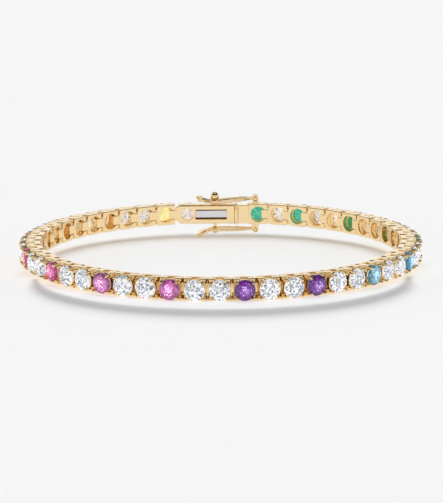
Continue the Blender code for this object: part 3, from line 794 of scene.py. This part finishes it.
box_shapes += [(box_setting, Matrix.Translation((x, 0, 0))) for x in BOX_STONES]
box_shapes = [(mesh, clasp_place @ place) for mesh, place in box_shapes]
add_piece("box", gather(box_shapes), gold, "bracelet", ["clasp_box"])
for number, x in enumerate(BOX_STONES, 1):
    place = clasp_place @ Matrix.Translation((x, 0, 0))
    add_piece(f"box_gem_{number}", gather([(stone_with_painted_light(place, None), still)]), white_gem,
              "bracelet", [f"box_stone_{number}"], smooth=False)


# The tongue half of the clasp. An end block that closes on the box, soldered to a last
# setting with the emerald, and two lugs for the safety catches.
JOINT_GAP = 0.00015
BLOCK_HALF_HEIGHT = 0.0015
BLOCK_LAP = 0.0002
BLOCK_STEP = 0.00005
EMERALD = (0.09, 0.52, 0.38)
LUG_HALF_LENGTH = 0.00052
LUG_HALF_SPAN = 0.001
LUG_ROOT = 0.0004
LUG_HEIGHT = 0.00022
EAR_THICKNESS = 0.00035
EAR_BORE = 0.00036
EAR_ROUND = 0.00005
LUG_FOOT_MARGIN = 0.00005
LUG_FOOT_ROUND = 0.00006
PIN_HEAD = 0.00028
PIN_HEAD_ROUND = 0.00008
CATCH_CENTRE = 0.00075
HINGE_RISES = {"upper": 0.00087, "lower": 0.0009}
block_start = box_mouth + JOINT_GAP / 3
basket_x = CLASP_LENGTH / 2 - HINGE_PITCH / 2
basket_place = Matrix.Translation((basket_x, 0, 0))
end_block = box_block((block_start, basket_x - PLATE_HALF_LENGTH + BLOCK_LAP),
                      (BOX_INNER_FACE - BLOCK_STEP, BOX_OUTER_FACE),
                      (-BLOCK_HALF_HEIGHT, BLOCK_HALF_HEIGHT), BLOCK_ROUND)


def lug(height):
    """Two bored ears, a foot and a headed pin, for a safety catch above the tongue half."""
    z = PLATE_HALF_HEIGHT + height
    root = PLATE_HALF_HEIGHT - LUG_ROOT
    ear = [(LUG_HALF_LENGTH, root), (-LUG_HALF_LENGTH, root)]
    ear += arc((0, z), LUG_HALF_LENGTH, math.pi, 0, 16)
    bore = circle((0, z), EAR_BORE, 20)
    reach = LUG_HALF_SPAN - EAR_THICKNESS / 2
    ears = [slab([ear, bore], EAR_THICKNESS, EAR_ROUND) for _ in range(2)]
    shapes = [laid(one, CATCH_CENTRE + end * reach) for one, end in zip(ears, (-1, 1))]
    foot = box_block((-LUG_HALF_LENGTH - LUG_FOOT_MARGIN, LUG_HALF_LENGTH + LUG_FOOT_MARGIN),
                     (CATCH_CENTRE - LUG_HALF_SPAN - LUG_FOOT_MARGIN,
                      CATCH_CENTRE + LUG_HALF_SPAN + LUG_FOOT_MARGIN),
                     (root, PLATE_HALF_HEIGHT + LUG_HEIGHT), LUG_FOOT_ROUND)
    pin = rod((0, CATCH_CENTRE - LUG_HALF_SPAN, z), (0, CATCH_CENTRE + LUG_HALF_SPAN, z), PIN_HEAD, 20)
    round_edges(pin, PIN_HEAD_ROUND, 3)
    return as_mesh(gather(shapes + [(as_mesh(foot), still), (as_mesh(pin), still)]))


knuckle_place = Matrix.Translation((KNUCKLE.x, 0, 0))
tongue_shapes = [
    (plate, basket_place),
    (basket, basket_place),
    (as_mesh(hinge_pin()), basket_place),
    (as_mesh(end_block), still),
    (lug(HINGE_RISES["upper"]), knuckle_place),
    (lug(HINGE_RISES["lower"]), knuckle_place @ flip),
]
tongue_shapes = [(mesh, clasp_place @ place) for mesh, place in tongue_shapes]
add_piece("clasp_end", gather(tongue_shapes), gold, "bracelet", ["clasp_tongue"])
add_piece("emerald", gather([(stone_with_painted_light(clasp_place @ basket_place, EMERALD), still)]), coloured_gem,
          "bracelet", ["tongue_stone"], smooth=False)


# The spring blade. A strip of white gold folded back on itself, seen through the window.
BLADE_HALF_HEIGHT = 0.00056
BLADE_THICKNESS = 0.0002
BLADE_FOOT = -0.00001
BLADE_TIP = -0.004255
BLADE_FREE = 0.001625
BLADE_ROOT = 0.003575
BLADE_SPREAD = 0.0002
BLADE_ROUND = 0.00004
BLADE_COLOUR = (0.78, 0.76, 0.8, 1.0)
BLADE_ROUGHNESS = 0.28
blade_top = BLADE_FOOT + BLADE_THICKNESS
fold_top = blade_top + BLADE_SPREAD
blade_loop = [(BLADE_TIP, BLADE_FOOT), (BLADE_ROOT, BLADE_FOOT), (BLADE_ROOT, blade_top),
              (BLADE_TIP + 2 * BLADE_THICKNESS, blade_top), (BLADE_FREE, fold_top),
              (BLADE_FREE, fold_top + BLADE_THICKNESS), (BLADE_TIP, blade_top + BLADE_THICKNESS / 2)]
blade = slab([blade_loop], 2 * BLADE_HALF_HEIGHT, BLADE_ROUND)
bmesh.ops.rotate(blade, verts=blade.verts, matrix=Matrix.Rotation(-math.pi / 2, 3, "X"))
white_metal = bpy.data.materials.new("white_spring_metal")
white_metal.use_nodes = True
blade_shader = white_metal.node_tree.nodes["Principled BSDF"]
blade_shader.inputs["Base Color"].default_value = BLADE_COLOUR
blade_shader.inputs["Metallic"].default_value = 1.0
blade_shader.inputs["Roughness"].default_value = BLADE_ROUGHNESS
bmesh.ops.transform(blade, matrix=clasp_place, verts=blade.verts)
add_piece("blade", blade, white_metal, "bracelet", ["spring_blade"])


# Safety catches. Each is a loop of gold wire on a barrel that turns on its lug's pin. The
# loop is waisted where it snaps past a ball on the box, and turned away for the thumb:
# the upper one ends in a rolled curl, the lower one in a flat paddle.
CATCH_REACH = 0.00657
CATCH_HALF_WIDTH = 0.00105
CATCH_WIRE = 0.00022
NECK_HALF_WIDTH = 0.0003
FLARE_LENGTH = 0.002
WAIST_HALF_WIDTH = 0.00034
THUMB_LENGTH = 0.0029
THUMB_HALF_WIDTH = 0.00078
THUMB_SHAPE = ((0.3, 0.75), (0.55, 1.0), (0.8, 0.9), (0.97, 0.45))
PADDLE_THICKNESS = 0.0005
PADDLE_TIP_RADIUS = 0.00036
CURL_RADIUS = 0.00048
CURL_BORE = 0.0002
CURL_ROUND = 0.00007
BARREL_HALF_LENGTH = 0.00055
BARREL_ROUND = 0.00006
BALL_POST_RADIUS = 0.00026
POST_SINK = 0.0003
CATCHES = {
    "upper": {"side": 1, "wire": 0.00034, "thumb": 0.001, "ball": 0.00115, "ball_radius": 0.00072},
    "lower": {"side": -1, "wire": 0.00096, "thumb": 0.00192, "ball": 0.001, "ball_radius": 0.00062},
}
post_x = KNUCKLE.x - CATCH_REACH
waist_x = post_x - math.sqrt(CATCH_HALF_WIDTH ** 2 - WAIST_HALF_WIDTH ** 2)
tip_x = post_x - THUMB_LENGTH


def catch_height(name, x):
    """The height of a catch's wire at x, level with the hinge at one end, bent away at the other."""
    sizes = CATCHES[name]
    rise = sizes["wire"]
    if x >= post_x:
        rise += (x - post_x) / CATCH_REACH * (HINGE_RISES[name] - sizes["wire"])
    else:
        rise += ((post_x - x) / THUMB_LENGTH) ** 2 * (sizes["thumb"] - sizes["wire"])
    return sizes["side"] * (PLATE_HALF_HEIGHT + rise)


def catch_half_path():
    """One side of the figure eight as (x, half width), from the hinge to the thumb's tip."""
    neck_x = KNUCKLE.x - LUG_HALF_LENGTH
    path = [(neck_x + CATCH_WIRE, NECK_HALF_WIDTH), (neck_x - LUG_HALF_LENGTH, NECK_HALF_WIDTH),
            (neck_x - FLARE_LENGTH, CATCH_HALF_WIDTH)]
    last = math.asin(WAIST_HALF_WIDTH / CATCH_HALF_WIDTH)
    path += arc((post_x, 0), CATCH_HALF_WIDTH, math.pi / 2, math.pi - last, 4)
    path += [(waist_x + along * (tip_x - waist_x), width * THUMB_HALF_WIDTH)
             for along, width in THUMB_SHAPE]
    return path


def bent_wire(points):
    """A closed loop of round wire through the points, bent smoothly."""
    curve = bpy.data.curves.new("wire", "CURVE")
    curve.dimensions = "3D"
    curve.bevel_depth = CATCH_WIRE
    curve.bevel_resolution = 3
    curve.resolution_u = 4
    spline = curve.splines.new("BEZIER")
    spline.bezier_points.add(len(points) - 1)
    for point, place in zip(spline.bezier_points, points):
        point.co = place
        point.handle_left_type = "AUTO"
        point.handle_right_type = "AUTO"
    spline.use_cyclic_u = True
    bm = bmesh_of_curve(curve)
    bmesh.ops.recalc_face_normals(bm, faces=bm.faces)
    return bm


def cross_bar(x, z, half_length, radius, rounding):
    """A round bar across a catch, with rounded ends."""
    bm = rod((x, CATCH_CENTRE - half_length, z), (x, CATCH_CENTRE + half_length, z), radius, 24)
    round_edges(bm, rounding, 3)
    return as_mesh(bm), still


def paddle():
    """The flat gold plate that closes the lower catch's thumb end."""
    near, far = catch_height("lower", waist_x), catch_height("lower", tip_x)
    length = math.hypot(waist_x - tip_x, far - near)
    sheet = box_block((-length / 2, length / 2), (-THUMB_HALF_WIDTH, THUMB_HALF_WIDTH),
                      (-PADDLE_THICKNESS / 2, PADDLE_THICKNESS / 2), BLOCK_ROUND)
    slope = math.atan2(far - near, waist_x - tip_x)
    middle = ((tip_x + waist_x) / 2, CATCH_CENTRE, (near + far) / 2)
    bead = cross_bar(tip_x + PADDLE_TIP_RADIUS, far, THUMB_HALF_WIDTH, PADDLE_TIP_RADIUS, BLOCK_ROUND)
    sheet_place = Matrix.Translation(middle) @ Matrix.Rotation(slope, 4, "Y")
    return as_mesh(gather([(as_mesh(sheet), sheet_place), bead])), still


def curl():
    """The rolled end of the upper catch's thumb loop."""
    x = tip_x + CURL_RADIUS
    z = catch_height("upper", x)
    rims = [circle((x, z), radius, 24) for radius in (CURL_RADIUS, CURL_BORE)]
    return laid(slab(rims, 2 * THUMB_HALF_WIDTH, CURL_ROUND), CATCH_CENTRE)


def catch(name, end):
    half = catch_half_path()
    loop = half + [(x, -width) for x, width in reversed(half)]
    points = [(x, CATCH_CENTRE + width, catch_height(name, x)) for x, width in loop]
    barrel = cross_bar(KNUCKLE.x, catch_height(name, KNUCKLE.x), BARREL_HALF_LENGTH,
                       LUG_HALF_LENGTH, BARREL_ROUND)
    shapes = [(as_mesh(bent_wire(points)), still), barrel, end]
    return gather([(mesh, clasp_place @ place) for mesh, place in shapes])


def ball_post(sizes):
    """The ball on its post that a catch snaps over."""
    side = sizes["side"]
    head = Vector((post_x, CATCH_CENTRE, side * (PLATE_HALF_HEIGHT + sizes["ball"])))
    foot = Vector((post_x, CATCH_CENTRE, side * (BOX_HALF_HEIGHT - POST_SINK)))
    bm = bmesh.new()
    bmesh.ops.create_uvsphere(bm, u_segments=28, v_segments=16, radius=sizes["ball_radius"],
                              matrix=Matrix.Translation(head))
    post = rod(foot, head, BALL_POST_RADIUS, 16)
    return gather([(as_mesh(bm), clasp_place), (as_mesh(post), clasp_place)])


for name, end in (("upper", curl()), ("lower", paddle())):
    add_piece(f"{name}_catch_wire", catch(name, end), gold, f"{name}_catch",
              [f"{name}_safety"])
    add_piece(f"{name}_ball", ball_post(CATCHES[name]), gold, "bracelet", ["clasp_box"])
